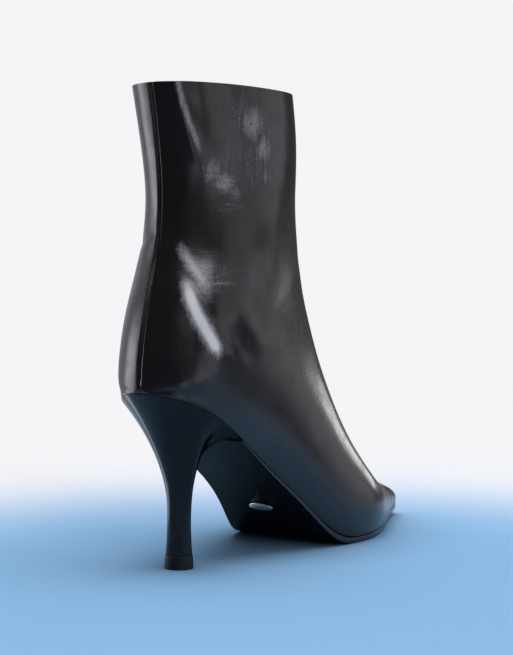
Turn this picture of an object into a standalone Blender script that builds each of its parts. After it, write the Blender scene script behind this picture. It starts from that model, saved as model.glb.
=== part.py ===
"""Heeled ankle boot, right foot: pointed toe, slim flared heel, plain collar.

The boot stands empty on its forefoot and its heel. The tables below are in millimetres: along
the boot from the back of the heel to the toe, across it with the outer side positive, and up
from the floor. The toe points to -Y, and the outer side of this right boot is at -X.
"""

import math

import bmesh
import bpy
import numpy as np
from mathutils import Matrix, Vector

MM = 0.001

# Driving dimensions of the boot.
LENGTH = 245.0
HEEL_HEIGHT = 88.0
COLLAR_HEIGHT = 235.0
WALL = 1.8
SOLE_THICKNESS = 3.0
INSOLE_THICKNESS = 2.4
GAP = 0.3
TREAD_HEIGHT = SOLE_THICKNESS + GAP

# The boot's own frame: halfway along the boot, and midway between its two sides.
ORIGIN_ALONG = LENGTH / 2
ORIGIN_ACROSS = -1.2

# Lasted bottom of the upper, seen from the side: (along, height).
SOLE_LINE = (
    (0.0, HEEL_HEIGHT),
    (12.0, 83.6),
    (25.0, 77.4),
    (40.0, 68.8),
    (55.0, 58.9),
    (70.0, 48.8),
    (85.0, 38.6),
    (100.0, 27.4),
    (112.0, 17.2),
    (122.0, 9.0),
    (130.0, 5.0),
    (139.0, TREAD_HEIGHT),
    (186.0, TREAD_HEIGHT),
    (205.0, 3.9),
    (225.0, 5.4),
    (LENGTH, 7.6),
)

# Outline of the lasted bottom, seen from above: (along, outer half width, inner half width).
OUTLINE = (
    (0.0, 0.0, 0.0),
    (4.0, 12.6, 12.6),
    (14.0, 22.4, 22.2),
    (30.0, 26.6, 26.4),
    (52.0, 25.8, 25.2),
    (84.0, 25.4, 23.8),
    (112.0, 30.0, 30.0),
    (140.0, 35.4, 38.4),
    (156.0, 35.6, 39.6),
    (173.0, 31.6, 37.4),
    (188.0, 25.4, 32.8),
    (204.0, 18.2, 25.8),
    (222.0, 10.4, 16.2),
    (237.0, 4.9, 8.0),
    (LENGTH, 0.0, 0.0),
)

# Sections of the foot, from toe to heel. Each is a chord from the bottom to the ridge.
# (name, along at the bottom, along at the ridge, height of the ridge, outer half width,
#  inner half width, share of the chord at the widest, taper to the ridge, taper to the bottom)
FOOT_SECTIONS = (
    ("toe tip", 245.0, 244.4, 11.0, 0.0, 0.0, 0.40, 0.0, 0.0),
    ("toe nose", 241.0, 240.5, 14.4, 3.8, 5.9, 0.38, 0.0, 0.0),
    ("toe point", 229.0, 229.0, 19.2, 8.8, 13.4, 0.35, 0.0, 0.0),
    ("toe box", 210.0, 210.5, 25.0, 17.4, 24.4, 0.32, 0.0, 0.0),
    ("vamp", 186.0, 189.6, 33.8, 28.8, 35.0, 0.29, 0.04, -0.05),
    ("ball", 162.0, 173.0, 45.6, 37.2, 40.8, 0.27, 0.08, -0.10),
    ("joint", 138.0, 162.2, 60.6, 38.2, 40.0, 0.27, 0.11, -0.12),
    ("waist", 114.0, 154.0, 76.2, 35.2, 35.4, 0.29, 0.12, -0.14),
    ("arch", 90.0, 147.0, 92.0, 33.0, 32.2, 0.31, 0.12, -0.18),
    ("shank", 64.0, 141.0, 107.5, 31.8, 31.6, 0.33, 0.12, -0.22),
    ("seat front", 36.0, 136.0, 122.5, 31.4, 31.4, 0.34, 0.11, -0.25),
    ("seat middle", 16.0, 132.0, 136.0, 31.4, 31.6, 0.34, 0.11, -0.25),
    ("seat back", 4.0, 129.2, 147.5, 31.5, 31.8, 0.34, 0.10, -0.20),
)

# Sections of the leg, from the back of the heel up to the collar.
# (name, along and height at the back, along and height at the front, outer half width,
#  inner half width, share of the chord at the widest, taper to the front, taper to the back)
LEG_SECTIONS = (
    ("heel point", 0.0, HEEL_HEIGHT, 126.6, 157.5, 31.7, 32.0, 0.34, 0.08, -0.10),
    ("counter", 0.2, 99.0, 124.0, 167.0, 31.9, 32.3, 0.35, 0.04, 0.0),
    ("heel curve", 3.2, 118.0, 120.8, 178.5, 32.0, 32.4, 0.38, 0.0, 0.13),
    ("tendon", 8.6, 138.0, 117.8, 190.0, 31.8, 32.0, 0.42, -0.05, 0.26),
    ("ankle", 14.4, 160.0, 115.4, 201.5, 31.6, 31.6, 0.47, -0.11, 0.26),
    ("leg", 16.6, 184.0, 113.0, 213.0, 31.4, 31.4, 0.52, -0.16, 0.14),
    ("leg top", 14.0, 210.0, 110.2, 224.0, 31.2, 31.2, 0.57, -0.19, -0.03),
    ("collar", 9.3, COLLAR_HEIGHT, 107.6, COLLAR_HEIGHT, 31.0, 31.0, 0.60, -0.19, -0.17),
)

# How finely the upper is divided, and the closed seam that runs down the back of the leg.
ROWS_BETWEEN_SECTIONS = 2
COLUMNS_PER_SIDE = 18
CURVE_SAMPLES = 160
LEAST_BULGE = 1.01
SEAM_COLUMNS = (0.0, 1.1, 2.8)
SEAM_DEPTH = 0.7

# Heel: a slim stem that flares up to the seat, with an arched breast in front.
STEM_ALONG = 31.0
STEM_RADIUS = 5.9
HEEL_TIP_RADIUS = 6.7
STEM_FRONT = 0.86
TIP_FLARE_HEIGHT = 26.0
HEEL_BREAST = 48.0
FLARE_DEPTH = 52.0
BACK_FLARE_POWER = 1.95
WING_SHARE = 0.66
WING_POWER = 15.0
BREAST_POWER = 3.0
BREAST_TURN = (-0.25, 0.55)
HEEL_LEVELS = 19
HEEL_LEVEL_SPACING = 1.8
HEEL_SIDE_COLUMNS = 15
HEEL_BREAST_COLUMNS = 8

# Top piece under the heel.
TOP_PIECE_HEIGHT = 6.8
TOP_PIECE_RADIUS = 7.4
TOP_PIECE_TAPER = 0.95
TOP_PIECE_SEGMENTS = 36
TOP_PIECE_EDGE_ROUND = 0.4

# Plates: (along, thickness), how many stations each has along the boot, and their rounded edges.
# The outsole is full under the forefoot and skived thin towards the heel's breast.
SOLE_PLATE = (
    (HEEL_BREAST, 0.9),
    (75.0, 1.6),
    (112.0, 2.4),
    (136.0, SOLE_THICKNESS),
    (LENGTH, SOLE_THICKNESS),
)
INSOLE_PLATE = ((0.0, INSOLE_THICKNESS), (LENGTH, INSOLE_THICKNESS))
PLATE_STATIONS = 40
TURN_STEP = 1e-4
SOLE_EDGE_ROUND = 0.7
INSOLE_CLEARANCE = 0.8
INSOLE_EDGE_ROUND = 0.5

# Blank oval plate on the waist of the sole: place along the boot, and its size.
STUD_ALONG = 103.5
STUD_WIDTH = 15.0
STUD_DEPTH = 7.0
STUD_HEIGHT = 1.2
STUD_SEGMENTS = 32
STUD_EDGE_ROUND = 0.35
SLOPE_STEP = 2.0

# Rounded and sharp edges in degrees, and points close enough to be one, in metres.
EDGE_SEGMENTS = 2
SHARP_ANGLE = 40.0
MERGE = 1e-6

# Finishes: (colour, roughness, metallic).
FINISHES = {
    "upper_leather": ((0.012, 0.012, 0.013), 0.32, 0.0),
    "insole_leather": ((0.030, 0.028, 0.027), 0.60, 0.0),
    "sole_leather": ((0.015, 0.015, 0.016), 0.50, 0.0),
    "heel_cover": ((0.014, 0.014, 0.015), 0.34, 0.0),
    "top_piece_rubber": ((0.020, 0.019, 0.019), 0.55, 0.0),
    "stud_metal": ((0.620, 0.600, 0.560), 0.22, 1.0),
}


def spline_through(knots, values, at):
    """Natural cubic spline through the knots, read at the given places."""
    knots, values = np.asarray(knots, float), np.asarray(values, float)
    step = np.diff(knots)
    slope = np.diff(values) / step
    count = len(knots)
    system = np.eye(count)
    right = np.zeros(count)
    for i in range(1, count - 1):
        system[i, i - 1 : i + 2] = step[i - 1], 2 * (step[i - 1] + step[i]), step[i]
        right[i] = 6 * (slope[i] - slope[i - 1])
    bend = np.linalg.solve(system, right)
    at = np.asarray(at, float)
    i = np.clip(np.searchsorted(knots, at) - 1, 0, count - 2)
    before, after, h = at - knots[i], knots[i + 1] - at, step[i]
    return (
        bend[i] * after**3 / (6 * h)
        + bend[i + 1] * before**3 / (6 * h)
        + (values[i] / h - bend[i] * h / 6) * after
        + (values[i + 1] / h - bend[i + 1] * h / 6) * before
    )


def level_through(knots, values, at):
    """Cubic curve through the knots that never swings past them, so a flat stretch stays flat."""
    knots, values = np.asarray(knots, float), np.asarray(values, float)
    step = np.diff(knots)
    slope = np.diff(values) / step
    tangent = np.zeros(len(knots))
    tangent[0], tangent[-1] = slope[0], slope[-1]
    for i in range(1, len(knots) - 1):
        before, after = slope[i - 1], slope[i]
        if before * after > 0:
            heavy, light = 2 * step[i] + step[i - 1], step[i] + 2 * step[i - 1]
            tangent[i] = (heavy + light) / (heavy / before + light / after)
    at = np.asarray(at, float)
    i = np.clip(np.searchsorted(knots, at) - 1, 0, len(knots) - 2)
    t = (at - knots[i]) / step[i]
    return (
        (1 + 2 * t) * (1 - t) ** 2 * values[i]
        + t * (1 - t) ** 2 * step[i] * tangent[i]
        + t**2 * (3 - 2 * t) * values[i + 1]
        + t**2 * (t - 1) * step[i] * tangent[i + 1]
    )


def smooth_step(value):
    """0 below 0, 1 above 1, and a soft rise between."""
    value = np.clip(value, 0.0, 1.0)
    return value * value * (3 - 2 * value)


def sole_height(along):
    """Height of the lasted bottom at a place along the boot."""
    knots, heights = zip(*SOLE_LINE)
    return level_through(knots, heights, np.clip(along, 0.0, LENGTH))


def plate_thickness(plate, along):
    """Thickness of a plate at a place along the boot."""
    knots, values = zip(*plate)
    return level_through(knots, values, np.clip(along, knots[0], knots[-1]))


def turn_at(along):
    """0 at the heel and 1 at the toe, stretched at both ends so that the outline there is round."""
    return np.arccos(1 - 2 * np.clip(along, 0.0, LENGTH) / LENGTH) / math.pi


def along_at(turn):
    """Place along the boot of a turn of the outline."""
    return LENGTH * (1 - np.cos(math.pi * np.asarray(turn, float))) / 2


def half_widths(along):
    """Outer and inner half width of the lasted bottom."""
    knots, outer, inner = zip(*OUTLINE)
    knots = turn_at(np.array(knots))
    turn = turn_at(along)
    return spline_through(knots, outer, turn), spline_through(knots, inner, turn)


def outline_sides(turns, grow):
    """Outer and inner edge (along, across) of the outline, moved outwards by grow."""
    inside = np.clip(turns, TURN_STEP, 1 - TURN_STEP)
    run = along_at(inside + TURN_STEP) - along_at(inside - TURN_STEP)
    ahead = half_widths(along_at(inside + TURN_STEP))
    behind = half_widths(along_at(inside - TURN_STEP))
    sides = []
    for side, sign in ((0, 1.0), (1, -1.0)):
        rise = ahead[side] - behind[side]
        size = np.hypot(run, rise)
        along = along_at(turns) - grow * rise / size
        across = half_widths(along_at(turns))[side] + grow * run / size
        across[(turns <= 0) | (turns >= 1)] = 0.0
        sides.append(np.stack([along, sign * across], axis=1))
    return sides


def fullness(turn, taper):
    """Half width of a section as a share of its widest: 1 at the widest, 0 at the end."""
    return np.sqrt(np.clip(1 - turn**2, 0, 1)) * (1 - taper * turn**2)


def section_half(bottom, ridge, base, widest, widest_at, ridge_taper, bottom_taper):
    """One side of a section: points (along, across, height) from its bottom to its ridge."""
    widest = max(widest, base * LEAST_BULGE, MERGE)
    quarter = np.linspace(0, math.pi / 2, CURVE_SAMPLES)
    turns = np.sin(quarter)
    cut = float(np.interp(-base / widest, -fullness(turns, bottom_taper), turns))
    below = cut * np.cos(quarter)
    above = turns[1:]
    share = np.concatenate([widest_at * (1 - below / cut), widest_at + (1 - widest_at) * above])
    width = widest * np.concatenate([fullness(below, bottom_taper), fullness(above, ridge_taper)])
    along = bottom[0] + (ridge[0] - bottom[0]) * share
    height = bottom[1] + (ridge[1] - bottom[1]) * share
    points = np.stack([along, width, height], axis=1)
    run = np.concatenate([[0], np.cumsum(np.linalg.norm(np.diff(points, axis=0), axis=1))])
    seam = np.minimum(SEAM_COLUMNS, np.arange(len(SEAM_COLUMNS)) * run[-1] / COLUMNS_PER_SIDE)
    rest = np.linspace(seam[-1], run[-1], COLUMNS_PER_SIDE + 2 - len(seam))
    places = np.concatenate([seam, rest[1:]])
    return np.stack([np.interp(places, run, points[:, k]) for k in range(3)], axis=1)


def upper_rows():
    """Rows of the upper's outer surface, from toe to collar. Each runs from the outer bottom edge
    over the ridge to the inner bottom edge, and a row of the leg closes at the back seam."""
    foot = np.array([row[1:] for row in FOOT_SECTIONS])
    leg = np.array([row[1:] for row in LEG_SECTIONS])
    heel_point = len(foot)
    bottom_along = np.concatenate([foot[:, 0], leg[:1, 0]])
    shape = np.concatenate([foot[:, 1:], leg[:, 2:]])
    index = np.arange(len(shape))
    rows = []
    for at in np.linspace(0, index[-1], index[-1] * ROWS_BETWEEN_SECTIONS + 1):
        if at <= heel_point:
            along = float(np.clip(spline_through(index[: heel_point + 1], bottom_along, at), 0, LENGTH))
            bottom = (along, float(sole_height(along)))
            base = [float(width) for width in half_widths(along)]
        else:
            bottom = [float(spline_through(index[heel_point:], leg[:, k], at)) for k in range(2)]
            base = (0.0, 0.0)
        ridge_along, ridge_height, outer, inner, *form = (
            float(spline_through(index, column, at)) for column in shape.T
        )
        ridge = (ridge_along, ridge_height)
        left = section_half(bottom, ridge, base[0], outer, *form)
        right = section_half(bottom, ridge, base[1], inner, *form)
        right[:, 1] *= -1
        row = np.concatenate([left, right[-2::-1]])
        sink = SEAM_DEPTH * smooth_step(at - heel_point)
        row[[0, -1], 0] += sink
        rows.append(row)
    return np.array(rows)


def stem_radius(height):
    """Radius of the heel's stem, which swells a little towards its foot."""
    foot = np.clip((TIP_FLARE_HEIGHT - height) / (TIP_FLARE_HEIGHT - TOP_PIECE_HEIGHT), 0, 1)
    return STEM_RADIUS + (HEEL_TIP_RADIUS - STEM_RADIUS) * foot**2


def stem_point(angle, radius):
    """Point of the stem's outline, from its centre. It is round at the back and flatter in front."""
    front = 1 - (1 - STEM_FRONT) * smooth_step(np.cos(angle))
    return np.stack([radius * np.cos(angle) * front, radius * np.sin(angle)], axis=-1)


def heel_seat():
    """Outline of the heel's top, (along, across): back, outer side, breast, inner side."""
    turns = np.linspace(0, 1, HEEL_SIDE_COLUMNS + 1) * turn_at(HEEL_BREAST)
    outer, inner = outline_sides(turns, 0.0)
    breast = np.linspace(outer[-1], inner[-1], HEEL_BREAST_COLUMNS + 1)[1:-1]
    return outer, breast, inner


def heel_rings():
    """Rings of the heel from its seat down to the top piece."""
    outer, breast, inner = heel_seat()
    seat = np.concatenate([outer, breast, inner[:0:-1]])
    top = sole_height(seat[:, 0]) - GAP
    foot = TOP_PIECE_HEIGHT + GAP
    reach = seat - (STEM_ALONG, 0.0)
    angle = np.arctan2(reach[:, 1], reach[:, 0])
    turn_start, turn_end = BREAST_TURN
    frontness = smooth_step((np.cos(angle) - turn_start) / (turn_end - turn_start))
    rings = []
    for level in np.linspace(0, 1, HEEL_LEVELS + 1) ** HEEL_LEVEL_SPACING:
        height = top + (foot - top) * level
        left = np.clip(1 - (top - height) / FLARE_DEPTH, 0, 1)
        back = left**BACK_FLARE_POWER
        front = WING_SHARE * left**WING_POWER + (1 - WING_SHARE) * left**BREAST_POWER
        flare = (back + (front - back) * frontness)[:, None]
        stem = stem_point(angle, stem_radius(height)) + (STEM_ALONG, 0.0)
        plan = stem + (seat - stem) * flare
        rings.append(np.column_stack([plan, height]))
    return np.array(rings)


def to_world(points):
    """Boot millimetres (along, across, up) to the part's frame in metres."""
    along, across, height = np.asarray(points, float).T
    return np.stack([ORIGIN_ACROSS - across, ORIGIN_ALONG - along, height], axis=1) * MM


def finish(name):
    """The material of one finish."""
    colour, roughness, metallic = FINISHES[name]
    material = bpy.data.materials.new(name)
    material.use_nodes = True
    shader = material.node_tree.nodes["Principled BSDF"]
    shader.inputs["Base Color"].default_value = (*colour, 1.0)
    shader.inputs["Roughness"].default_value = roughness
    shader.inputs["Metallic"].default_value = metallic
    material.diffuse_color = (*colour, 1.0)
    return material


def add_object(name, bm, finish_name, parent, collection):
    """Turn a bmesh into a named, smooth-shaded object with its own material."""
    mesh = bpy.data.meshes.new(name)
    bm.to_mesh(mesh)
    bm.free()
    mesh.shade_smooth()
    mesh.set_sharp_from_angle(angle=math.radians(SHARP_ANGLE))
    mesh.materials.append(finish(finish_name))
    piece = bpy.data.objects.new(name, mesh)
    piece.parent = parent
    collection.objects.link(piece)
    return piece


def round_edges(piece, width):
    """Soften the sharp edges of a piece."""
    bevel = piece.modifiers.new("rounded edges", "BEVEL")
    bevel.width = width * MM
    bevel.segments = EDGE_SEGMENTS
    bevel.limit_method = "ANGLE"
    bevel.angle_limit = math.radians(SHARP_ANGLE)


def make_upper(parent, collection):
    """The lasted upper: one wall through all the sections, open at the collar and underneath."""
    rows = upper_rows()
    bm = bmesh.new()
    grid = [[bm.verts.new(point) for point in to_world(row)] for row in rows]
    for near, far in zip(grid, grid[1:]):
        for j in range(len(near) - 1):
            bm.faces.new((near[j], near[j + 1], far[j + 1], far[j]))
    bmesh.ops.remove_doubles(bm, verts=bm.verts, dist=MERGE)
    upper = add_object("upper", bm, "upper_leather", parent, collection)
    wall = upper.modifiers.new("wall", "SOLIDIFY")
    wall.thickness = WALL * MM
    wall.offset = -1.0
    wall.use_even_offset = True


def make_plate(name, finish_name, turns, grow, rise, plate, parent, collection):
    """A plate that follows the lasted bottom: its edge moved by grow, its top by rise."""
    outer, inner = outline_sides(turns, grow)
    bm = bmesh.new()
    loops = []
    for edge in (outer, inner):
        for drop in (0.0, plate_thickness(plate, edge[:, 0])):
            height = sole_height(edge[:, 0]) + rise - drop
            loops.append([bm.verts.new(point) for point in to_world(np.column_stack([edge, height]))])
    outer_top, outer_bottom, inner_top, inner_bottom = loops
    strips = (
        (outer_top, inner_top),
        (inner_top, inner_bottom),
        (inner_bottom, outer_bottom),
        (outer_bottom, outer_top),
    )
    for first, second in strips:
        for i in range(len(turns) - 1):
            bm.faces.new((first[i], second[i], second[i + 1], first[i + 1]))
    for end, order in ((0, 1), (-1, -1)):
        corners = [outer_top[end], outer_bottom[end], inner_bottom[end], inner_top[end]]
        bm.faces.new(corners[::order])
    bmesh.ops.remove_doubles(bm, verts=bm.verts, dist=MERGE)
    bmesh.ops.recalc_face_normals(bm, faces=bm.faces)
    return add_object(name, bm, finish_name, parent, collection)


def make_outsole(parent, collection):
    """The outsole, from the heel's breast to the toe, flat where the forefoot stands."""
    start = turn_at(HEEL_BREAST + GAP)
    turns = start + (1 - start) * np.linspace(0, 1, PLATE_STATIONS + 1)
    outsole = make_plate(
        "outsole", "sole_leather", turns, 0.0, -GAP, SOLE_PLATE, parent, collection
    )
    round_edges(outsole, SOLE_EDGE_ROUND)


def make_insole(parent, collection):
    """The insole, inside the wall of the upper and just above the sole and the heel."""
    turns = np.linspace(0, 1, PLATE_STATIONS + 1)
    inset = -(WALL + INSOLE_CLEARANCE)
    insole = make_plate(
        "insole", "insole_leather", turns, inset, INSOLE_THICKNESS, INSOLE_PLATE, parent, collection
    )
    round_edges(insole, INSOLE_EDGE_ROUND)


def make_heel(parent, collection):
    """The heel: rings from the seat to the foot, closed by the seat's own curve on top."""
    bm = bmesh.new()
    rings = [[bm.verts.new(point) for point in to_world(ring)] for ring in heel_rings()]
    count = len(rings[0])
    for high, low in zip(rings, rings[1:]):
        for j in range(count):
            bm.faces.new((high[j], high[(j + 1) % count], low[(j + 1) % count], low[j]))
    seat = rings[0]
    for i in range(HEEL_SIDE_COLUMNS - 1):
        bm.faces.new(dict.fromkeys((seat[i], seat[i + 1], seat[-i - 1], seat[-i % count])))
    front = HEEL_SIDE_COLUMNS - 1
    bm.faces.new(seat[front : count - front + 1])
    bm.faces.new(rings[-1])
    bmesh.ops.recalc_face_normals(bm, faces=bm.faces)
    add_object("heel", bm, "heel_cover", parent, collection)


def make_top_piece(parent, collection):
    """The rubber top piece that the heel stands on, outlined as the stem is."""
    bm = bmesh.new()
    bmesh.ops.create_circle(
        bm, cap_ends=True, segments=TOP_PIECE_SEGMENTS, radius=TOP_PIECE_RADIUS * MM
    )
    for vert in bm.verts:
        angle = math.atan2(-vert.co.x, -vert.co.y)
        ahead, aside = stem_point(angle, TOP_PIECE_RADIUS) * MM
        vert.co = (-aside, -ahead, 0.0)
    grown = bmesh.ops.extrude_face_region(bm, geom=bm.faces[:])
    raised = [item for item in grown["geom"] if isinstance(item, bmesh.types.BMVert)]
    bmesh.ops.translate(bm, verts=raised, vec=(0, 0, TOP_PIECE_HEIGHT * MM))
    bmesh.ops.scale(bm, verts=raised, vec=(TOP_PIECE_TAPER, TOP_PIECE_TAPER, 1.0))
    bmesh.ops.recalc_face_normals(bm, faces=bm.faces)
    top_piece = add_object("top_piece", bm, "top_piece_rubber", parent, collection)
    top_piece.location = Vector(to_world([(STEM_ALONG, 0.0, 0.0)])[0])
    round_edges(top_piece, TOP_PIECE_EDGE_ROUND)


def make_stud(parent, collection):
    """The blank oval plate on the underside of the waist, square to the sole there."""
    rise = float(sole_height(STUD_ALONG + SLOPE_STEP) - sole_height(STUD_ALONG - SLOPE_STEP))
    slope = math.atan2(rise, 2 * SLOPE_STEP)
    underside = float(sole_height(STUD_ALONG)) - GAP - float(plate_thickness(SOLE_PLATE, STUD_ALONG))
    bm = bmesh.new()
    bmesh.ops.create_cone(
        bm, cap_ends=True, segments=STUD_SEGMENTS, radius1=0.5, radius2=0.5, depth=STUD_HEIGHT * MM
    )
    bmesh.ops.scale(bm, verts=bm.verts, vec=(STUD_WIDTH * MM, STUD_DEPTH * MM, 1.0))
    stud = add_object("sole_stud", bm, "stud_metal", parent, collection)
    turn = Matrix.Rotation(-slope, 4, "X")
    seat = Vector(to_world([(STUD_ALONG, 0.0, underside)])[0])
    out = turn @ Vector((0, 0, -1))
    stud.rotation_euler = turn.to_euler()
    stud.location = seat + out * (GAP + STUD_HEIGHT / 2) * MM
    round_edges(stud, STUD_EDGE_ROUND)


def main():
    for leftover in list(bpy.data.objects):
        bpy.data.objects.remove(leftover, do_unlink=True)
    collection = bpy.data.collections.new("heeled_ankle_boot")
    bpy.context.scene.collection.children.link(collection)
    boot = bpy.data.objects.new("boot", None)
    collection.objects.link(boot)
    make_upper(boot, collection)
    make_insole(boot, collection)
    make_outsole(boot, collection)
    make_heel(boot, collection)
    make_top_piece(boot, collection)
    make_stud(boot, collection)


if __name__ == "__main__":
    main()
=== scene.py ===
import math

import bmesh
import bpy
import numpy as np
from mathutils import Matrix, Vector, noise
from mathutils.kdtree import KDTree


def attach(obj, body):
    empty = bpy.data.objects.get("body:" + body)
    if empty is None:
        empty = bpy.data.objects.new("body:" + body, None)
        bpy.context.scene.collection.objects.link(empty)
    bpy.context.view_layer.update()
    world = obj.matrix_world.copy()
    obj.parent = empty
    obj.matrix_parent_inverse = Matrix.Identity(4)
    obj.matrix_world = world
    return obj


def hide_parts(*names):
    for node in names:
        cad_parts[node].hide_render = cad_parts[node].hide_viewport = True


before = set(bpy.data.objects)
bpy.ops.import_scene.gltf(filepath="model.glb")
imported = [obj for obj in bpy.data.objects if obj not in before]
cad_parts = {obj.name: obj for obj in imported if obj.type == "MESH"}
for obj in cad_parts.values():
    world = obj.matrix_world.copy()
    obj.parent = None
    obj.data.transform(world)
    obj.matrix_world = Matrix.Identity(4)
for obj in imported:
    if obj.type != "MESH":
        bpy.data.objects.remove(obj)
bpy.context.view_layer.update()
scene = bpy.context.scene
mm = 0.001
print("frame loaded:", len(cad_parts), "nodes")

# The boot's own sizes, in millimetres: along from the back of the heel, across to the outer side, height
bootAxes = {"heelBack": 122.5, "middle": -1.2}


def bootSizes(places):
    along = bootAxes["heelBack"] - places[:, 1] / mm
    across = bootAxes["middle"] - places[:, 0] / mm
    return np.stack((along, across, places[:, 2] / mm), axis=1)


def softStep(low, high, value):
    share = np.clip((value - low) / (high - low), 0.0, 1.0)
    return share * share * (3.0 - 2.0 * share)


# Node helpers

def setInput(tree, socket, value):
    if isinstance(value, bpy.types.NodeSocket):
        tree.links.new(value, socket)
    elif value is not None:
        socket.default_value = value


def makeNode(tree, kind, inputs=None, **settings):
    node = tree.nodes.new(kind)
    for name, value in settings.items():
        setattr(node, name, value)
    for name, value in (inputs or {}).items():
        setInput(tree, node.inputs[name], value)
    return node


def calc(tree, operation, first, second=None, third=None):
    node = makeNode(tree, "ShaderNodeMath", operation=operation)
    for socket, value in zip(node.inputs, (first, second, third)):
        setInput(tree, socket, value)
    return node.outputs[0]


def remap(tree, value, fromLow, fromHigh, toLow, toHigh):
    node = makeNode(tree, "ShaderNodeMapRange", {
        "Value": value, "From Min": fromLow, "From Max": fromHigh, "To Min": toLow, "To Max": toHigh})
    return node.outputs["Result"]


def softMask(tree, value, low, high):
    node = makeNode(tree, "ShaderNodeMapRange", {
        "Value": value, "From Min": low, "From Max": high}, interpolation_type="SMOOTHSTEP")
    return node.outputs["Result"]


def blendColour(tree, factor, first, second):
    node = makeNode(tree, "ShaderNodeMix", data_type="RGBA")
    setInput(tree, node.inputs["Factor"], factor)
    setInput(tree, node.inputs[6], first)   # the colour sockets come after those for numbers and vectors
    setInput(tree, node.inputs[7], second)
    return node.outputs[2]


def startGroup(name, inputs, output):
    group = bpy.data.node_groups.new(name, "ShaderNodeTree")
    for label, kind, value in inputs:
        socket = group.interface.new_socket(label, in_out="INPUT", socket_type=kind)
        if value is not None:
            socket.default_value = value
    group.interface.new_socket(output, in_out="OUTPUT", socket_type="NodeSocketFloat")
    return group, group.nodes.new("NodeGroupInput").outputs, group.nodes.new("NodeGroupOutput").inputs[output]


def useGroup(tree, group, inputs):
    return makeNode(tree, "ShaderNodeGroup", inputs, node_tree=group).outputs[0]


# Hide grain: small rounded cells with a finer grain on them, height in millimetres
grainPattern = {"warpScale": 0.4, "warpReach": 0.6, "cellEdge": 0.32, "fineScale": 2.6, "fineHeight": 0.6}


def makeHideGrain():
    use = grainPattern
    group, given, out = startGroup("hideGrain", (
        ("Vector", "NodeSocketVector", None),
        ("Cell", "NodeSocketFloat", 0.8),
        ("Depth", "NodeSocketFloat", 0.01)), "Height")
    density = calc(group, "DIVIDE", 1.0 / mm, given["Cell"])
    warpScale = calc(group, "MULTIPLY", density, use["warpScale"])
    warp = makeNode(group, "ShaderNodeTexNoise", {
        "Vector": given["Vector"], "Scale": warpScale, "Detail": 2.0})
    reach = (use["warpReach"] * mm,) * 3
    shift = makeNode(group, "ShaderNodeVectorMath", {
        0: warp.outputs["Color"], 1: reach, 2: given["Vector"]}, operation="MULTIPLY_ADD")
    cells = makeNode(group, "ShaderNodeTexVoronoi", {
        "Vector": shift.outputs[0], "Scale": density}, feature="DISTANCE_TO_EDGE")
    pillow = softMask(group, cells.outputs["Distance"], 0.0, use["cellEdge"])
    fineScale = calc(group, "MULTIPLY", density, use["fineScale"])
    fine = makeNode(group, "ShaderNodeTexNoise", {
        "Vector": given["Vector"], "Scale": fineScale, "Detail": 3.0})
    mixed = calc(group, "MULTIPLY_ADD", fine.outputs["Fac"], use["fineHeight"], pillow)
    group.links.new(calc(group, "MULTIPLY", mixed, given["Depth"]), out)
    return group


# Fine wrinkles that lie level round the leg, height in millimetres
wrinklePattern = {"stretch": (0.22, 0.22, 1.0), "roughness": 0.55, "distortion": 0.5, "crest": 0.16}


def makeFineWrinkle():
    use = wrinklePattern
    group, given, out = startGroup("fineWrinkle", (
        ("Vector", "NodeSocketVector", None),
        ("Gap", "NodeSocketFloat", 2.0),
        ("Depth", "NodeSocketFloat", 0.05)), "Height")
    stretch = makeNode(group, "ShaderNodeMapping", {"Vector": given["Vector"], "Scale": use["stretch"]})
    lines = makeNode(group, "ShaderNodeTexNoise", {
        "Vector": stretch.outputs["Vector"], "Scale": calc(group, "DIVIDE", 0.5 / mm, given["Gap"]),
        "Detail": 3.0, "Roughness": use["roughness"], "Distortion": use["distortion"]})
    ridge = calc(group, "ABSOLUTE", calc(group, "SUBTRACT", lines.outputs["Fac"], 0.5))
    crest = softMask(group, ridge, 0.0, use["crest"])
    group.links.new(calc(group, "MULTIPLY", crest, given["Depth"]), out)
    return group


# Rubbed and dusty places: a soft mask from 0 to 1
rubPattern = {"roughness": 0.6, "edgeFrom": 0.78, "edgePerAmount": -0.4, "edgeSoft": 0.16}


def makeRubMarks():
    use = rubPattern
    group, given, out = startGroup("rubMarks", (
        ("Vector", "NodeSocketVector", None),
        ("Size", "NodeSocketFloat", 20.0),
        ("Amount", "NodeSocketFloat", 0.4)), "Mask")
    cloud = makeNode(group, "ShaderNodeTexNoise", {
        "Vector": given["Vector"], "Scale": calc(group, "DIVIDE", 1.0 / mm, given["Size"]),
        "Detail": 5.0, "Roughness": use["roughness"]})
    edge = calc(group, "MULTIPLY_ADD", given["Amount"], use["edgePerAmount"], use["edgeFrom"])
    edgeTop = calc(group, "ADD", edge, use["edgeSoft"])
    group.links.new(softMask(group, cloud.outputs["Fac"], edge, edgeTop), out)
    return group


# Brush strokes left by polishing, long where Stretch is small: a mask from 0 to 1
brushPattern = {"roughness": 0.62, "distortion": 0.15}


def makeBrushMarks():
    use = brushPattern
    group, given, out = startGroup("brushMarks", (
        ("Vector", "NodeSocketVector", None),
        ("Stretch", "NodeSocketVector", (1.0, 1.0, 0.1)),
        ("Gap", "NodeSocketFloat", 1.5)), "Mask")
    stretch = makeNode(group, "ShaderNodeMapping", {"Vector": given["Vector"], "Scale": given["Stretch"]})
    strokes = makeNode(group, "ShaderNodeTexNoise", {
        "Vector": stretch.outputs["Vector"], "Scale": calc(group, "DIVIDE", 0.5 / mm, given["Gap"]),
        "Detail": 4.0, "Roughness": use["roughness"], "Distortion": use["distortion"]})
    group.links.new(strokes.outputs["Fac"], out)
    return group


hideGrain = makeHideGrain()
fineWrinkle = makeFineWrinkle()
rubMarks = makeRubMarks()
brushMarks = makeBrushMarks()


# Materials

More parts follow.
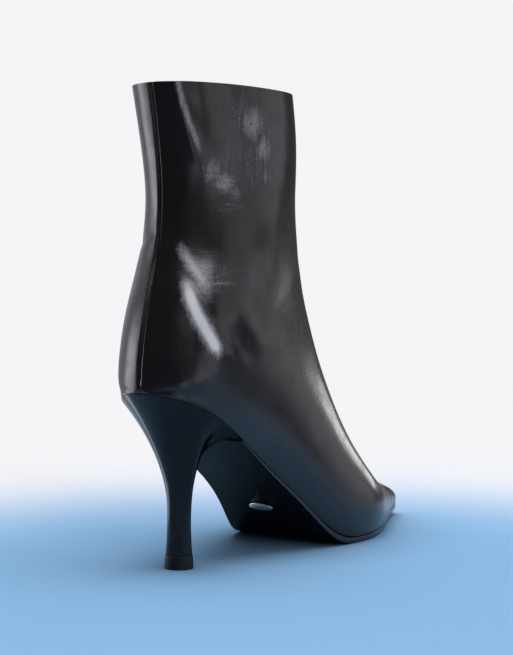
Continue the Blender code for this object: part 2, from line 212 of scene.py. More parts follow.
def startMaterial(name, constants):
    material = bpy.data.materials.new(name)
    material.use_nodes = True
    tree = material.node_tree
    shader = tree.nodes["Principled BSDF"]
    for socket, value in constants.items():
        shader.inputs[socket].default_value = value
    where = makeNode(tree, "ShaderNodeTexCoord").outputs["Object"]
    return material, tree, shader, where


def addBump(tree, shader, height):
    bump = makeNode(tree, "ShaderNodeBump", {"Height": height, "Strength": 1.0, "Distance": mm})
    tree.links.new(bump.outputs["Normal"], shader.inputs["Normal"])


def addGrain(tree, where, use):
    return useGroup(tree, hideGrain, {"Vector": where, "Cell": use["grainCell"], "Depth": use["grainDepth"]})


def addRubs(tree, where, use):
    return useGroup(tree, rubMarks, {"Vector": where, "Size": use["rubSize"], "Amount": use["rubAmount"]})


# Upper: glossy black leather, worn in rubbed places, with a pale bloom and painted highlights on its creases
# and patches
upperFinish = {
    "dark": (0.003, 0.0029, 0.004, 1.0), "worn": (0.009, 0.0087, 0.0098, 1.0),
    "rubSize": 26.0, "rubAmount": 0.55, "rubTone": 0.35, "creaseTone": 0.4,
    "bloomAndSheen": (0.30, 0.295, 0.29, 1.0), "paintedShine": (0.70, 0.69, 0.68, 1.0), "paintedShineFrom": (0.72, 1.2),
    "bloomAndSheenSpread": 1.7, "bloomAndSheenEdge": (0.22, 1.0), "bloomAndSheenRoughness": 0.44,
    "glossScale": 90.0, "glossStroke": 0.4, "glossRange": (0.3, 0.7),
    "roughness": (0.21, 0.35), "coat": (0.35, 0.1),
    "grainCell": 0.75, "grainDepth": 0.008,
    "wrinkleGap": 1.6, "wrinkleDepth": 0.045, "plainWrinkle": 0.12,
    "strokeGap": 0.9, "strokeDepth": 0.024,
    "levelGap": 1.3, "levelStretch": (0.14, 0.14, 1.0), "levelFrom": (0.2, 0.8),
    "speckScale": 900.0, "speckRoughness": 0.7,
    "constants": {"Coat Roughness": 0.12, "IOR": 1.46},
}


def upperLeather():
    use = upperFinish
    material, tree, shader, where = startMaterial("upperLeather", use["constants"])
    creased = makeNode(tree, "ShaderNodeAttribute", attribute_name="creased").outputs["Fac"]
    # the second attribute marks the pale bloom and the painted highlights on the leg
    bloomAndHighlight = makeNode(tree, "ShaderNodeAttribute", attribute_name="bloomAndHighlight").outputs["Fac"]
    stroke = useGroup(tree, brushMarks, {"Vector": where, "Gap": use["strokeGap"]})
    level = useGroup(tree, brushMarks, {
        "Vector": where, "Gap": use["levelGap"], "Stretch": use["levelStretch"]})

    # pale bloom and painted highlight: upright strokes on the plain leg, level ones where it creases, broken
    # up by specks
    speck = makeNode(tree, "ShaderNodeTexNoise", {
        "Vector": where, "Scale": use["speckScale"], "Detail": 4.0, "Roughness": use["speckRoughness"]})
    lines = remap(tree, creased, *use["levelFrom"], stroke, level)
    speckledStrokes = calc(tree, "SUBTRACT", calc(tree, "ADD", lines, speck.outputs["Fac"]), 1.0)
    spread = calc(tree, "MULTIPLY_ADD", speckledStrokes, 0.5 * use["bloomAndSheenSpread"], bloomAndHighlight)
    bloomAndSheen = softMask(tree, spread, *use["bloomAndSheenEdge"])

    creaseTone = calc(tree, "MULTIPLY", creased, use["creaseTone"])
    tone = calc(tree, "MULTIPLY_ADD", addRubs(tree, where, use), use["rubTone"], creaseTone)
    colour = blendColour(tree, tone, use["dark"], use["worn"])
    # painted highlight: a pale colour, near white where the mask is strongest
    pale = blendColour(tree, softMask(tree, bloomAndHighlight, *use["paintedShineFrom"]), use["bloomAndSheen"], use["paintedShine"])
    tree.links.new(blendColour(tree, bloomAndSheen, colour, pale), shader.inputs["Base Color"])

    gloss = makeNode(tree, "ShaderNodeTexNoise", {"Vector": where, "Scale": use["glossScale"], "Detail": 4.0})
    cloudy = calc(tree, "MULTIPLY", gloss.outputs["Fac"], 1.0 - use["glossStroke"])
    mixed = calc(tree, "MULTIPLY_ADD", stroke, use["glossStroke"], cloudy)
    smooth = remap(tree, mixed, *use["glossRange"], *use["roughness"])
    tree.links.new(remap(tree, bloomAndSheen, 0.0, 1.0, smooth, use["bloomAndSheenRoughness"]), shader.inputs["Roughness"])
    tree.links.new(remap(tree, mixed, *use["glossRange"], *use["coat"]), shader.inputs["Coat Weight"])

    wrinkle = useGroup(tree, fineWrinkle, {
        "Vector": where, "Gap": use["wrinkleGap"], "Depth": use["wrinkleDepth"]})
    share = calc(tree, "MULTIPLY_ADD", creased, 1.0 - use["plainWrinkle"], use["plainWrinkle"])
    height = calc(tree, "MULTIPLY_ADD", wrinkle, share, addGrain(tree, where, use))
    addBump(tree, shader, calc(tree, "MULTIPLY_ADD", stroke, use["strokeDepth"], height))
    return material


# Lining, heel cover, edge ink and rubber share one build: grain, rubs and a roughness that follows them
liningFinish = {
    "dark": (0.022, 0.021, 0.020, 1.0), "worn": (0.040, 0.037, 0.035, 1.0),
    "rubSize": 18.0, "rubAmount": 0.5, "roughness": (0.55, 0.72), "grainCell": 1.3, "grainDepth": 0.03,
    "constants": {"IOR": 1.45},
}
heelFinish = {
    "dark": (0.0035, 0.0035, 0.004, 1.0), "worn": (0.009, 0.009, 0.0095, 1.0),
    "rubSize": 12.0, "rubAmount": 0.45, "roughness": (0.13, 0.24), "coat": (0.12, 0.1),
    "grainCell": 0.6, "grainDepth": 0.004,
    "constants": {"Coat Roughness": 0.06, "IOR": 1.5, "Specular IOR Level": 0.19},
}
inkFinish = {
    "dark": (0.004, 0.004, 0.0048, 1.0), "worn": (0.014, 0.0135, 0.014, 1.0),
    "rubSize": 9.0, "rubAmount": 0.5, "roughness": (0.20, 0.34), "grainCell": 0.4, "grainDepth": 0.004,
    "constants": {"IOR": 1.5, "Specular IOR Level": 0.6},
}
rubberFinish = {
    "dark": (0.006, 0.006, 0.006, 1.0), "worn": (0.020, 0.019, 0.018, 1.0),
    "rubSize": 5.0, "rubAmount": 0.5, "roughness": (0.45, 0.65), "grainCell": 0.35, "grainDepth": 0.012,
    "constants": {"IOR": 1.48, "Specular IOR Level": 0.3},
}


def grainedMaterial(name, use):
    material, tree, shader, where = startMaterial(name, use["constants"])
    rubbed = addRubs(tree, where, use)
    tree.links.new(blendColour(tree, rubbed, use["dark"], use["worn"]), shader.inputs["Base Color"])
    tree.links.new(remap(tree, rubbed, 0.0, 1.0, *use["roughness"]), shader.inputs["Roughness"])
    if "coat" in use:
        tree.links.new(remap(tree, rubbed, 0.0, 1.0, *use["coat"]), shader.inputs["Coat Weight"])
    addBump(tree, shader, addGrain(tree, where, use))
    return material


# Sole: matt leather, with slanting scuffs
soleFinish = {
    "dark": (0.002, 0.002, 0.0022, 1.0), "worn": (0.010, 0.0095, 0.0095, 1.0),
    "rubSize": 16.0, "rubAmount": 0.6, "roughness": (0.40, 0.60), "grainCell": 0.5, "grainDepth": 0.008,
    "scuffStretch": (9.0, 1.0, 1.0), "scuffTurn": (0.0, 0.0, 0.5), "scuffScale": 180.0, "scuffRoughness": 0.7,
    "scuffFrom": (0.45, 0.7), "scuffShare": (0.2, 1.0), "scuffDepth": 0.01,
    "constants": {"IOR": 1.5, "Specular IOR Level": 0.12},
}


def soleLeather():
    use = soleFinish
    material, tree, shader, where = startMaterial("soleLeather", use["constants"])
    stretch = makeNode(tree, "ShaderNodeMapping", {
        "Vector": where, "Scale": use["scuffStretch"], "Rotation": use["scuffTurn"]})
    streaks = makeNode(tree, "ShaderNodeTexNoise", {
        "Vector": stretch.outputs["Vector"], "Scale": use["scuffScale"],
        "Detail": 4.0, "Roughness": use["scuffRoughness"]}).outputs["Fac"]
    share = remap(tree, streaks, *use["scuffFrom"], *use["scuffShare"])
    scuff = calc(tree, "MULTIPLY", addRubs(tree, where, use), share)
    tree.links.new(blendColour(tree, scuff, use["dark"], use["worn"]), shader.inputs["Base Color"])
    tree.links.new(remap(tree, scuff, 0.0, 1.0, *use["roughness"]), shader.inputs["Roughness"])
    addBump(tree, shader, calc(tree, "MULTIPLY_ADD", streaks, use["scuffDepth"], addGrain(tree, where, use)))
    return material


# Stud: polished metal with fine hairlines
studFinish = {
    "bright": (0.86, 0.85, 0.83, 1.0), "dull": (0.60, 0.58, 0.55, 1.0), "rubSize": 2.5, "rubAmount": 0.5,
    "roughness": (0.10, 0.24), "hairStretch": (1.0, 22.0, 22.0), "hairScale": 160.0, "hairDepth": 0.002,
    "constants": {"Metallic": 1.0},
}


def studMetal():
    use = studFinish
    material, tree, shader, where = startMaterial("studMetal", use["constants"])
    rubbed = addRubs(tree, where, use)
    brush = makeNode(tree, "ShaderNodeMapping", {"Vector": where, "Scale": use["hairStretch"]})
    hairlines = makeNode(tree, "ShaderNodeTexNoise", {
        "Vector": brush.outputs["Vector"], "Scale": use["hairScale"], "Detail": 3.0}).outputs["Fac"]
    tree.links.new(blendColour(tree, rubbed, use["bright"], use["dull"]), shader.inputs["Base Color"])
    tree.links.new(remap(tree, rubbed, 0.0, 1.0, *use["roughness"]), shader.inputs["Roughness"])
    addBump(tree, shader, calc(tree, "MULTIPLY", hairlines, use["hairDepth"]))
    return material


print("materials ready to build")

# Mesh helpers
cageSettings = {
    "mergeGap": 1e-6, "joinFace": math.radians(90), "joinShape": math.radians(180), "joinTopology": 1.3,
    "bevelSegments": 2, "holdRounds": 2, "facesUp": 0.5,
}


def nodeCage(nodeName):
    use = cageSettings
    cage = bmesh.new()
    cage.from_mesh(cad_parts[nodeName].data)
    bmesh.ops.remove_doubles(cage, verts=cage.verts, dist=use["mergeGap"])
    bmesh.ops.join_triangles(
        cage, faces=cage.faces, angle_face_threshold=use["joinFace"],
        angle_shape_threshold=use["joinShape"], topology_influence=use["joinTopology"])
    return cage


def sharpEdges(cage, degrees):
    return [edge for edge in cage.edges
            if len(edge.link_faces) == 2 and edge.calc_face_angle() > math.radians(degrees)]


def touchesTop(part):
    return any(face.normal.z > cageSettings["facesUp"] for face in part.link_faces)


def facesUpTo(start, walls):
    found, todo = {start}, [start]
    while todo:
        for edge in todo.pop().edges:
            if edge in walls:
                continue
            for face in edge.link_faces:
                if face not in found:
                    found.add(face)
                    todo.append(face)
    return found


def roundEdges(cage, edges, width):
    bmesh.ops.bevel(cage, geom=edges, offset=width * mm, offset_type="OFFSET",
                    segments=cageSettings["bevelSegments"], profile=0.5, affect="EDGES",
                    material=-1, clamp_overlap=True)


def readVectors(mesh, name):
    values = np.zeros(len(mesh.vertices) * 3)
    mesh.vertices.foreach_get(name, values)
    return values.reshape(-1, 3)


def evaluated(piece):
    return piece.evaluated_get(bpy.context.evaluated_depsgraph_get())


def smoothPiece(cage, name, levels, holdFrom=None):
    mesh = bpy.data.meshes.new(name)
    cage.to_mesh(mesh)
    cage.free()
    piece = bpy.data.objects.new(name, mesh)
    scene.collection.objects.link(piece)
    finer = piece.modifiers.new("smooth", "SUBSURF")
    finer.levels = finer.render_levels = levels
    finer.use_limit_surface = True
    if holdFrom:   # brings the surface back to the CAD's points, from this height up
        wanted = readVectors(mesh, "co")
        share = softStep(*holdFrom, wanted[:, 2])[:, None]
        for turn in range(cageSettings["holdRounds"]):
            missed = (wanted - readVectors(evaluated(piece).data, "co")[:len(wanted)]) * share
            mesh.vertices.foreach_set("co", (readVectors(mesh, "co") + missed).ravel())
            mesh.update()
            bpy.context.view_layer.update()
    done = bpy.data.meshes.new_from_object(evaluated(piece))
    piece.modifiers.clear()
    piece.data = done
    bpy.data.meshes.remove(mesh)
    done.name = name
    done.shade_smooth()
    return piece


def putIn(piece, nodeName, slotName, *materials):
    for material in materials:
        piece.data.materials.append(material)
    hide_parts(nodeName)
    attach(piece, "root")
    print(piece.name + ":", len(piece.data.polygons), "faces")


# Upper: one wall of leather and lining, with its creases listed below
# The heights in liningFrom, collarFrom, holdFrom and outsideTop are metres, other lengths are millimetres
upperShape = {
    "rimAngle": 45.0, "liningFrom": 0.15, "collarFrom": 0.2, "toplineRound": 0.55,
    "levels": 2, "holdFrom": (0.100, 0.130), "outsideTop": 0.2345,
    "fineZone": {"along": 88.0, "across": -26.0, "height": 86.0},
    "linePieces": 60, "lineRounds": 24,
    "creaseStart": (0.0, 0.25), "creaseEnd": (1.0, 0.7), "collarHeight": 230.0,
    "waveSize": (34.0, 13.0), "waveDepth": (0.22, 0.06),
    "seamAlong": (60.0, 40.0), "seamHeight": (90.0, 96.0),
    "seamGroove": (0.5, 0.40), "seamLip": (1.5, 0.16, 0.6),
    "wrinkleEdge": (1.0, 0.3), "bloomAndSheenEdge": (1.0, 0.1),
    "crestHighlightStart": (0.0, 0.15), "crestHighlightEnd": (1.0, 0.75), "crestHighlightAtStart": 0.75,
}

# Each crease: its line in the boot's sizes (along, across, height), how far it stands out (- is a trough),
# half width, and whether its crest is sharp
upperCreases = {
    "collarFold": (
        ((11.2, 10.6, 236.0), (14.2, 12.2, 225.6), (18.4, 13.9, 213.2), (22.8, 16.0, 201.5),
         (27.5, 19.0, 192.0)),
        0.75, 3.0, False),
    "collarFoldFoot": (
        ((17.0, 16.8, 236.0), (20.0, 18.0, 225.0), (24.8, 19.0, 212.0), (29.8, 20.8, 200.0)),
        -0.35, 4.0, False),
    "ankleTrough": (
        ((9.0, -8.0, 156.0), (14.0, 4.0, 154.0), (20.0, 14.0, 153.0), (35.0, 26.0, 152.5),
         (55.0, 33.0, 154.0), (75.0, 34.0, 158.0)),
        -1.3, 13.0, False),
    "ankleNotch": (
        ((38.0, -28.0, 157.0), (30.0, -23.0, 159.5), (24.0, -17.0, 161.5), (20.0, -12.0, 162.5),
         (16.5, -6.0, 163.5), (15.0, 1.0, 163.0)),
        -1.1, 2.2, True),
    "ankleFold": (
        ((13.5, 8.0, 148.0), (16.6, 13.6, 144.0), (18.4, 17.0, 140.0), (19.6, 20.6, 134.3),
         (22.4, 25.4, 125.0), (26.4, 28.6, 117.5), (32.0, 31.0, 108.5), (39.0, 32.0, 100.0)),
        -0.8, 2.2, True),
    "sideTrough": (
        ((27.0, 28.0, 127.0), (34.0, 30.5, 118.0), (43.0, 31.5, 109.0), (52.0, 31.5, 100.0)),
        -0.45, 5.0, False),
    "sideRidge": (
        ((33.0, 30.0, 133.0), (42.0, 31.2, 123.0), (52.0, 31.6, 113.0), (62.0, 31.5, 104.0)),
        0.5, 6.5, False),
    "counterEdge": (
        ((15.0, 13.0, 145.0), (16.2, 16.6, 136.0), (17.0, 20.6, 127.0), (19.5, 25.3, 116.0),
         (24.5, 29.0, 105.0), (29.0, 30.0, 98.0)),
        0.5, 4.5, False),
}

# Pale painted highlights along a crest: its line, half width and strength
crestHighlights = {
    "collarFold": (
        ((11.4, 11.2, 246.0), (14.9, 13.1, 230.3), (16.6, 13.8, 224.9), (19.0, 14.9, 217.9),
         (21.4, 16.1, 211.7), (24.0, 17.2, 205.4), (27.0, 18.4, 197.0)),
        1.9, 0.82),
    "counterEdge": (
        ((16.6, 15.8, 139.5), (16.3, 18.3, 132.0), (17.1, 21.8, 124.0), (20.3, 26.1, 114.8),
         (24.2, 28.6, 106.8), (27.5, 29.7, 102.0)),
        4.2, 1.28),
    "ankle": (
        ((18.2, 11.5, 156.5), (19.4, 14.6, 151.5), (20.9, 17.6, 147.0), (22.3, 20.6, 142.0),
         (24.0, 23.6, 136.5)),
        3.9, 0.92),
}

# Patches of fine wrinkles and of pale bloom with painted highlight: middle, reach along, across and up,
# wrinkles, bloom and painted highlight
upperPatches = (
    ((24.0, 21.0, 146.0), (24.0, 24.0, 24.0), 1.0, 0.0),    # ankle
    ((23.5, 20.5, 143.5), (11.5, 11.5, 18.0), 1.0, 0.60),
    ((31.0, 25.5, 142.0), (19.0, 14.0, 13.0), 1.0, 0.41),
    ((14.0, 0.0, 163.0), (13.0, 13.0, 13.0), 0.9, 0.10),    # notch at the back
    ((37.0, 24.0, 176.0), (22.0, 17.0, 7.0), 1.0, 0.30),    # below the collar's fold
    ((31.0, 20.8, 193.5), (11.0, 10.0, 13.0), 0.3, 0.56),
    ((36.5, 23.6, 188.5), (12.0, 10.0, 10.0), 0.7, 0.68),
    ((41.5, 26.0, 183.5), (9.0, 8.0, 8.0), 0.5, 0.46),
    ((38.0, 24.3, 192.0), (26.0, 19.0, 24.0), 0.3, 0.36),
    ((52.0, 29.2, 217.0), (15.0, 13.0, 17.0), 0.1, 0.63),   # outer side of the leg
    ((60.0, 31.0, 206.0), (10.0, 10.0, 14.0), 0.2, 0.60),
    ((60.0, 31.0, 192.0), (8.0, 9.0, 11.0), 0.2, 0.44),
    ((44.0, 27.0, 222.0), (18.0, 15.0, 22.0), 0.1, 0.34),
    ((55.0, 30.0, 205.0), (46.0, 32.0, 46.0), 0.0, 0.32),
)


def smoothLine(points):
    use = upperShape
    corners = np.array(points)
    reach = np.concatenate(([0.0], np.cumsum(np.linalg.norm(np.diff(corners, axis=0), axis=1))))
    steps = np.linspace(0.0, reach[-1], use["linePieces"] + 1)
    line = np.stack([np.interp(steps, reach, corners[:, axis]) for axis in range(3)], axis=1)
    for turn in range(use["lineRounds"]):
        line[1:-1] = 0.25 * line[:-2] + 0.5 * line[1:-1] + 0.25 * line[2:]
    return line


# For each spot, its distance to the line and the share of the line's length at the nearest place
def lineDistance(spots, line):
    nearest = np.full(len(spots), np.inf)
    share = np.zeros(len(spots))
    for step in range(len(line) - 1):
        start, run = line[step], line[step + 1] - line[step]
        part = np.clip(((spots - start) @ run) / (run @ run), 0.0, 1.0)
        gap = np.linalg.norm(spots - (start + part[:, None] * run), axis=1)
        closer = gap < nearest
        nearest[closer] = gap[closer]
        share[closer] = (step + part[closer]) / (len(line) - 1)
    return nearest, share


def upperCage():
    use = upperShape
    cage = nodeCage("upper")
    hold = cage.edges.layers.float.new("crease_edge")   # made first: a new layer drops the edges already read
    walls = set(sharpEdges(cage, use["rimAngle"]))
    outer = facesUpTo(max(cage.faces, key=lambda face: face.calc_center_median().y), walls)
    inner = max((facesUpTo(face, walls) for face in cage.faces if face not in outer
                 and face.calc_center_median().z > use["liningFrom"]
                 and face.normal.z < cageSettings["facesUp"]), key=len)
    for face in cage.faces:
        face.material_index = 1 if face in inner else 0
    rim = {face for face in cage.faces if face not in outer and face not in inner}
    rimEdges = [edge for edge in cage.edges if sum(face in rim for face in edge.link_faces) == 1]
    topRim = [edge for edge in rimEdges if min(vert.co.z for vert in edge.verts) > use["collarFrom"]]
    for edge in rimEdges:
        if edge not in topRim:
            edge[hold] = 1.0
    roundEdges(cage, topRim, use["toplineRound"])
    return cage


# Creases are finer than the cage, so the outer face is cut once more where they lie
def cutFiner(piece):
    zone = upperShape["fineZone"]
    shape = bmesh.new()
    shape.from_mesh(piece.data)
    edges = {}
    for face in shape.faces:
        along, across, height = bootSizes(np.array([face.calc_center_median()]))[0]
        inZone = along < zone["along"] and across > zone["across"] and height > zone["height"]
        if face.material_index == 0 and inZone:
            edges.update(dict.fromkeys(face.edges))
    bmesh.ops.subdivide_edges(shape, edges=list(edges), cuts=1, use_grid_fill=True)
    shape.to_mesh(piece.data)
    shape.free()
    piece.data.shade_smooth()


# For each vertex the nearest one of the outer face, so that the whole wall moves and keeps its thickness
def outerGuide(mesh, places):
    outside = np.zeros(len(places), bool)
    for face in mesh.polygons:
        if face.material_index == 0 and face.center.z < upperShape["outsideTop"]:
            outside[list(face.vertices)] = True
    finder = KDTree(int(outside.sum()))
    for number in np.flatnonzero(outside):
        finder.insert(places[number], int(number))
    finder.balance()
    return np.array([number if outside[number] else finder.find(places[number])[1]
                     for number in range(len(places))])


def creaseLift(spots):
    use = upperShape
    lift = np.zeros(len(spots))
    for points, stand, width, sharp in upperCreases.values():
        gap, share = lineDistance(spots, smoothLine(points))
        body = np.exp(-gap / width) if sharp else np.exp(-(gap / width) ** 2)
        body *= softStep(*use["creaseEnd"], share)
        startHeight = points[0][2]
        if startHeight < use["collarHeight"]:   # one that starts at the collar keeps its full depth there
            body *= softStep(*use["creaseStart"], share)
        lift += stand * body
    for size, depth in zip(use["waveSize"], use["waveDepth"]):
        lift += depth * np.array([noise.noise(Vector(spot) / size) for spot in spots])
    return lift


# Back seam: a narrow groove with a rolled lip on the outer panel's edge
def seamLift(spots):
    use = upperShape
    along, across, height = spots.T
    grooveWidth, grooveDepth = use["seamGroove"]
    lipPlace, lipHeight, lipWidth = use["seamLip"]
    lip = lipHeight * np.exp(-((across - lipPlace) / lipWidth) ** 2)
    groove = grooveDepth * np.exp(-(across / grooveWidth) ** 2)
    return (lip - groove) * softStep(*use["seamAlong"], along) * softStep(*use["seamHeight"], height)


def leatherMasks(spots):
    use = upperShape
    creased, bloomAndHighlight = np.zeros(len(spots)), np.zeros(len(spots))
    # patches of wrinkles, and of pale bloom with painted highlight
    for middle, reach, wrinkles, bloomAndSheen in upperPatches:
        gap = np.linalg.norm((spots - np.array(middle)) / np.array(reach), axis=1)
        creased = np.maximum(creased, wrinkles * softStep(*use["wrinkleEdge"], gap))
        bloomAndHighlight = np.maximum(bloomAndHighlight, bloomAndSheen * softStep(*use["bloomAndSheenEdge"], gap))
    # pale painted highlights along the crests of the creases
    for points, width, strength in crestHighlights.values():
        gap, share = lineDistance(spots, smoothLine(points))
        rise = use["crestHighlightAtStart"] + (1.0 - use["crestHighlightAtStart"]) * softStep(*use["crestHighlightStart"], share)
        ends = rise * softStep(*use["crestHighlightEnd"], share)
        bloomAndHighlight = np.maximum(bloomAndHighlight, strength * np.exp(-(gap / width) ** 2) * ends)
    return {"creased": creased, "bloomAndHighlight": bloomAndHighlight}


def makeUpper():
    piece = smoothPiece(upperCage(), "upperShell", upperShape["levels"], upperShape["holdFrom"])
    cutFiner(piece)
    mesh = piece.data
    places, normals = readVectors(mesh, "co"), readVectors(mesh, "normal")
    guide = outerGuide(mesh, places)
    spots = bootSizes(places[guide])
    lift = creaseLift(spots) + seamLift(spots)
    places += normals[guide] * (lift * mm)[:, None]
    mesh.vertices.foreach_set("co", places.ravel())
    for name, mask in leatherMasks(spots).items():
        mesh.attributes.new(name, "FLOAT", "POINT").data.foreach_set("value", mask)
    mesh.update()
    putIn(piece, "upper", "upper_leather", upperLeather(), grainedMaterial("liningLeather", liningFinish))


makeUpper()

# Heel: a leather cover over the flared stem
heelShape = {
    "rimAngle": 30.0, "topRound": 0.9, "footRound": 0.45, "footReach": 1.5, "levels": 2,
    "bluntAngle": 20.0, "bluntFrom": 12.0, "bluntRounds": 6, "bluntShare": 0.5,
}


def makeHeel():
    use = heelShape
    cage = nodeCage("heel")
    footTop = min(vert.co.z for vert in cage.verts) + use["footReach"] * mm
    footRim = [edge for edge in sharpEdges(cage, use["rimAngle"])
               if max(vert.co.z for vert in edge.verts) < footTop]
    roundEdges(cage, footRim, use["footRound"])
    onEdge = {vert for edge in sharpEdges(cage, use["bluntAngle"]) for vert in edge.verts}
    bluntFrom = footTop + use["bluntFrom"] * mm
    blunt = [vert for vert in cage.verts if vert in onEdge and vert.co.z > bluntFrom and not touchesTop(vert)]
    for turn in range(use["bluntRounds"]):   # the breast's edge melts into the side
        bmesh.ops.smooth_vert(cage, verts=blunt, factor=use["bluntShare"],
                              use_axis_x=True, use_axis_y=True, use_axis_z=True)
    topRim = [edge for edge in sharpEdges(cage, use["rimAngle"]) if touchesTop(edge)]
    roundEdges(cage, topRim, use["topRound"])
    piece = smoothPiece(cage, "heelCover", use["levels"])
    putIn(piece, "heel", "heel_cover", grainedMaterial("heelLeather", heelFinish))


makeHeel()

# Sole: its side is painted with ink and polished
soleShape = {"sideFrom": 0.55, "levels": 2}


def makeSole():
    use = soleShape
    cage = nodeCage("outsole")
    for face in cage.faces:
        facesOut = abs(face.normal.x) > use["sideFrom"] or face.normal.y < -use["sideFrom"]
        face.material_index = 1 if facesOut else 0
    piece = smoothPiece(cage, "soleLeather", use["levels"])
    putIn(piece, "outsole", "sole_leather", soleLeather(), grainedMaterial("edgeInk", inkFinish))


makeSole()

# Sock and top piece keep the CAD outline with softer edges
softShape = {"levels": 2}


def makeSoft(nodeName, name, slotName, material):
    piece = smoothPiece(nodeCage(nodeName), name, softShape["levels"])
    putIn(piece, nodeName, slotName, material)


makeSoft("insole", "sockLeather", "insole_leather", grainedMaterial("liningLeather", liningFinish))
makeSoft("top_piece", "topPieceRubber", "top_piece_rubber", grainedMaterial("topPieceRubber", rubberFinish))

# Stud: its outer face is domed in rings, each inset and raised a little
studShape = {
    "outward": Vector((0.0, 0.65, -0.76)), "outwardShare": 0.99,
    "rings": ((0.5, 0.28), (0.7, 0.30), (0.8, 0.18)), "levels": 2,
}


def makeStud():
    use = studShape
    cage = nodeCage("sole_stud")
    flat = [face for face in cage.faces if face.normal.dot(use["outward"]) > use["outwardShare"]]
    dome = bmesh.ops.dissolve_faces(cage, faces=flat)["region"]
    for width, height in use["rings"]:
        bmesh.ops.inset_individual(cage, faces=dome, thickness=width * mm, depth=height * mm)
    piece = smoothPiece(cage, "studPlate", use["levels"])
    putIn(piece, "sole_stud", "stud_metal", studMetal())


makeStud()

# Floor: pale blue under the boot, fading away into white, with a painted contact shadow where the boot stands
floorSettings = {
    "size": 3.0, "near": (0.27, 0.50, 0.76, 1.0), "far": (0.76, 0.85, 0.94, 1.0),
    "fadeMiddle": (-0.08, 0.10, 0.0), "fade": (0.16, 0.46),
    "vanishMiddle": (-0.05, 0.07, 0.0), "vanish": (0.50, 0.20),
    "shadowReach": 0.05, "shadowTone": (0.3, 1.0), "shadowSamples": 6,
    "constants": {"Roughness": 0.7, "Specular IOR Level": 0.0},
}


def floorPaint():
    use = floorSettings
    material, tree, shader, where = startMaterial("floorPaint", use["constants"])

    def reachFrom(middle):
        node = makeNode(tree, "ShaderNodeVectorMath", {0: where, 1: middle}, operation="DISTANCE")
        return node.outputs["Value"]

    tone = softMask(tree, reachFrom(use["fadeMiddle"]), *use["fade"])
    # painted contact shadow: the floor's colour is darkened where the boot closes it in
    openness = makeNode(tree, "ShaderNodeAmbientOcclusion", {"Distance": use["shadowReach"]},
                        samples=use["shadowSamples"]).outputs["AO"]
    paint = makeNode(tree, "ShaderNodeVectorMath", {
        0: blendColour(tree, tone, use["near"], use["far"]),
        "Scale": remap(tree, openness, 0.0, 1.0, *use["shadowTone"])}, operation="SCALE")
    tree.links.new(paint.outputs[0], shader.inputs["Base Color"])
    below = makeNode(tree, "ShaderNodeNewGeometry").outputs["Backfacing"]
    above = calc(tree, "SUBTRACT", 1.0, below)   # clear from below, so that the sole can be seen
    solid = softMask(tree, reachFrom(use["vanishMiddle"]), *use["vanish"])
    tree.links.new(calc(tree, "MULTIPLY", above, solid), shader.inputs["Alpha"])
    return material


def makeFloor():
    shape = bmesh.new()
    bmesh.ops.create_grid(shape, x_segments=1, y_segments=1, size=floorSettings["size"])
    mesh = bpy.data.meshes.new("floor")
    shape.to_mesh(mesh)
    shape.free()
    mesh.materials.append(floorPaint())
    floor = bpy.data.objects.new("floor", mesh)
    scene.collection.objects.link(floor)


makeFloor()

# Camera: the photograph's place and direction, turned to centre the one boot
cameraSettings = {
    "eye": Vector((-0.4817, 0.7311, 0.150)), "aim": Vector((0.0022, 0.0189, 0.1157)),
    "lens": 90.0, "sensor": 36.0, "clipFrom": 0.01,
}


def makeCamera():
    use = cameraSettings
    data = bpy.data.cameras.new("camera")
    data.lens = use["lens"]
    data.sensor_width = use["sensor"]
    data.clip_start = use["clipFrom"]
    camera = bpy.data.objects.new("camera", data)
    scene.collection.objects.link(camera)
    camera.location = use["eye"]
    camera.rotation_euler = (use["aim"] - use["eye"]).to_track_quat("-Z", "Y").to_euler()
    scene.camera = camera


makeCamera()

# Light: turn is degrees to the right of the camera, seen from the boot, and rise is degrees up
sightLine = Vector((0.6018, -0.7986, 0.0))
sightRight = Vector((-0.7986, -0.6018, 0.0))
upright = Vector((0.0, 0.0, 1.0))

softBoxes = (
    {"name": "overhead", "turn": 0.0, "rise": 90.0, "middle": (0.0, 0.06, 0.13), "away": 1.5,
     "width": 1.5, "height": 1.5, "glow": 2.4, "glossOnly": False},
    {"name": "rightStrip", "turn": 137.0, "rise": 0.0, "middle": (0.0, 0.0, 0.088), "away": 0.5,
     "width": 0.14, "height": 0.05, "glow": 4.0, "glossOnly": False},
    {"name": "heelCard", "turn": -122.0, "rise": 0.0, "middle": (-0.0012, 0.0925, 0.031), "away": 0.12,
     "width": 0.07, "height": 0.05, "glow": 1.5, "glossOnly": True},
)

# Bright parts of the studio, in degrees: turn, rise, half turn, half rise, soft edge; and their glow
studioWindows = {
    "leftBackdrop": (-156.0, 30.0, 38.0, 50.0, 6.0, 0.50),
    "leftStrip": (-114.0, 0.0, 9.0, 11.0, 7.0, 4.6),
    "key": (21.0, 33.0, 13.0, 8.0, 6.5, 5.0),
    "lowBox": (20.0, -13.0, 8.0, 6.0, 6.0, 1.7),
    "rightLow": (56.0, -5.0, 22.0, 10.0, 6.0, 1.3),
    "rightWall": (84.0, 46.0, 40.0, 49.5, 5.5, 0.85),
    "rightHigh": (138.0, 60.0, 38.0, 32.0, 8.0, 1.3),
}
studioTone = {
    "white": (0.98, 0.97, 1.0, 1.0), "mirrored": (0.94, 0.925, 1.0, 1.0),
    "fill": 0.10, "backdrop": 0.93, "turnFrom": -192.0,
}


def lightDirection(turn, rise):
    turn, rise = math.radians(turn), math.radians(rise)
    level = -sightLine * math.cos(turn) + sightRight * math.sin(turn)
    return level * math.cos(rise) + upright * math.sin(rise)


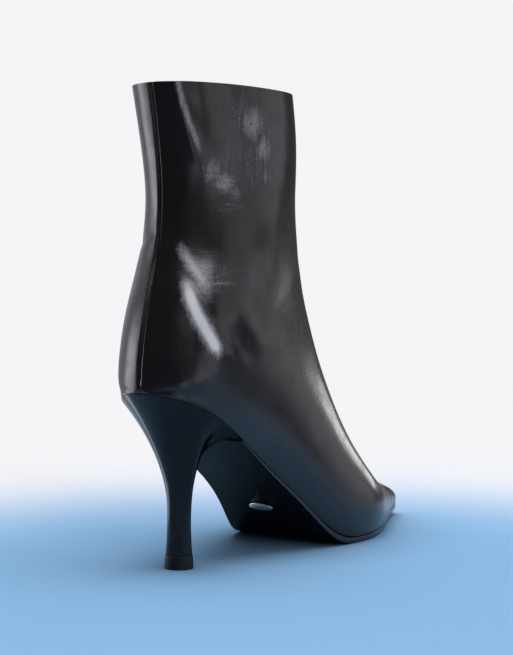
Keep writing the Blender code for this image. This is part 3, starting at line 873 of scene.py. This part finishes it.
def makeLights():
    for box in softBoxes:
        data = bpy.data.lights.new(box["name"], "AREA")
        data.shape = "RECTANGLE"
        data.size, data.size_y = box["width"], box["height"]
        data.energy = box["glow"] * math.pi * box["width"] * box["height"]
        light = bpy.data.objects.new(box["name"], data)
        light.visible_camera = False
        light.visible_diffuse = not box["glossOnly"]
        scene.collection.objects.link(light)
        toward = lightDirection(box["turn"], box["rise"])
        light.location = Vector(box["middle"]) + toward * box["away"]
        light.rotation_euler = toward.to_track_quat("Z", "Y").to_euler()


# The camera sees a plain white backdrop; the leather mirrors a darker studio with soft bright windows
def makeWorld():
    use = studioTone
    world = bpy.data.worlds.new("studio")
    world.use_nodes = True
    scene.world = world
    tree = world.node_tree
    back = tree.nodes["Background"]
    where = makeNode(tree, "ShaderNodeTexCoord").outputs["Generated"]

    def share(axis):
        node = makeNode(tree, "ShaderNodeVectorMath", {0: where, 1: axis}, operation="DOT_PRODUCT")
        return node.outputs["Value"]

    def within(value, middle, half, soft):
        away = calc(tree, "ABSOLUTE", calc(tree, "SUBTRACT", value, middle))
        return softMask(tree, away, half + soft, half - soft)

    turn = calc(tree, "DEGREES", calc(tree, "ARCTAN2", share(sightRight), share(-sightLine)))
    turn = calc(tree, "WRAP", turn, use["turnFrom"] + 360.0, use["turnFrom"])
    rise = calc(tree, "DEGREES", calc(tree, "ARCSINE", share(upright)))
    glow = use["fill"]
    for midTurn, midRise, halfTurn, halfRise, soft, strength in studioWindows.values():
        acrossMask = within(turn, midTurn, halfTurn, soft)
        mask = calc(tree, "MULTIPLY", acrossMask, within(rise, midRise, halfRise, soft))
        glow = calc(tree, "MAXIMUM", glow, calc(tree, "MULTIPLY", mask, strength))
    seen = makeNode(tree, "ShaderNodeLightPath").outputs["Is Camera Ray"]
    tree.links.new(remap(tree, seen, 0.0, 1.0, glow, use["backdrop"]), back.inputs["Strength"])
    tree.links.new(blendColour(tree, seen, use["mirrored"], use["white"]), back.inputs["Color"])


makeLights()
makeWorld()
scene.view_settings.view_transform = "Standard"
print("floor, camera and lights set")
